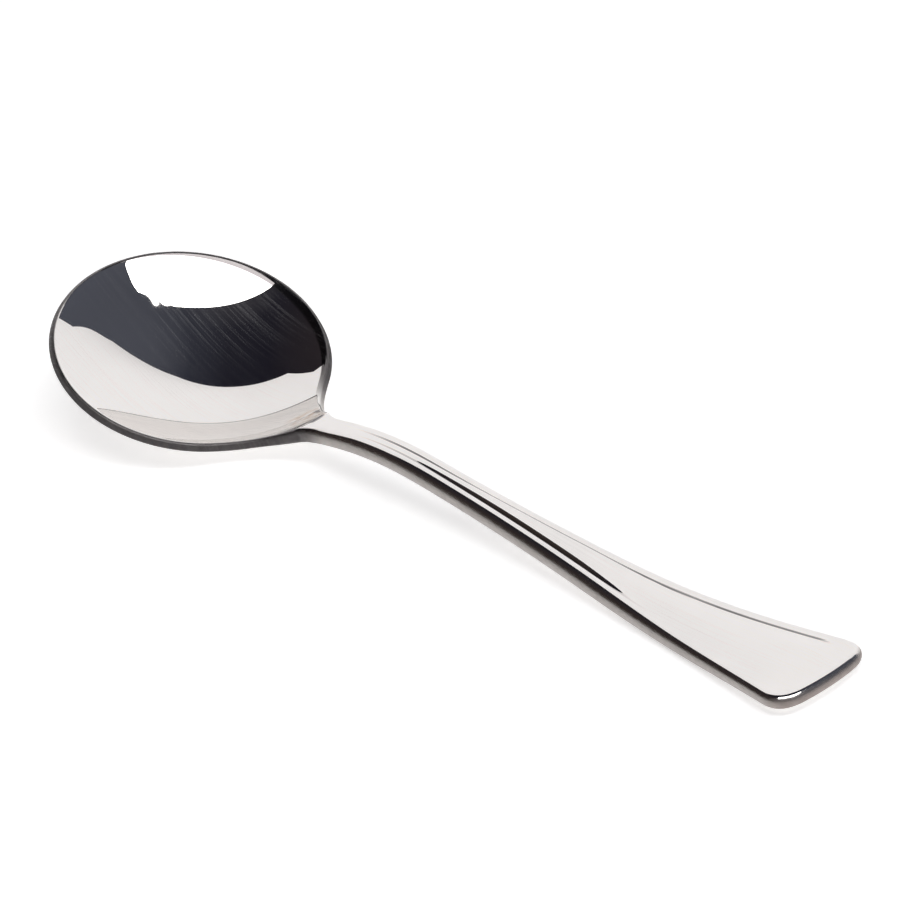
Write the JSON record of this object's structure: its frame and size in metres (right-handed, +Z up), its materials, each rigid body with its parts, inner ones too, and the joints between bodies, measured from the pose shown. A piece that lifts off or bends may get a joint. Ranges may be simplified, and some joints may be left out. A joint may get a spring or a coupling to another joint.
{
  "type": "sugar spoon",
  "caption": "Polished steel sugar spoon with a round bowl, a slim arched neck and a flared handle with a raised panel, for serving sugar.",
  "frame": {"origin": "middle of the spoon's box, on the table that it lies on", "axes": "+X from the bowl's tip to the handle's end, +Y across the spoon, +Z up from the table; the spoon lies at rest on the underside of its bowl and handle"},
  "size_m": [0.1396, 0.0394, 0.0148],
  "materials": {
    "polished_steel": "polished"
  },
  "bodies": {
    "root": {"sugar_spoon": "polished_steel"}
  },
  "joints": []
}
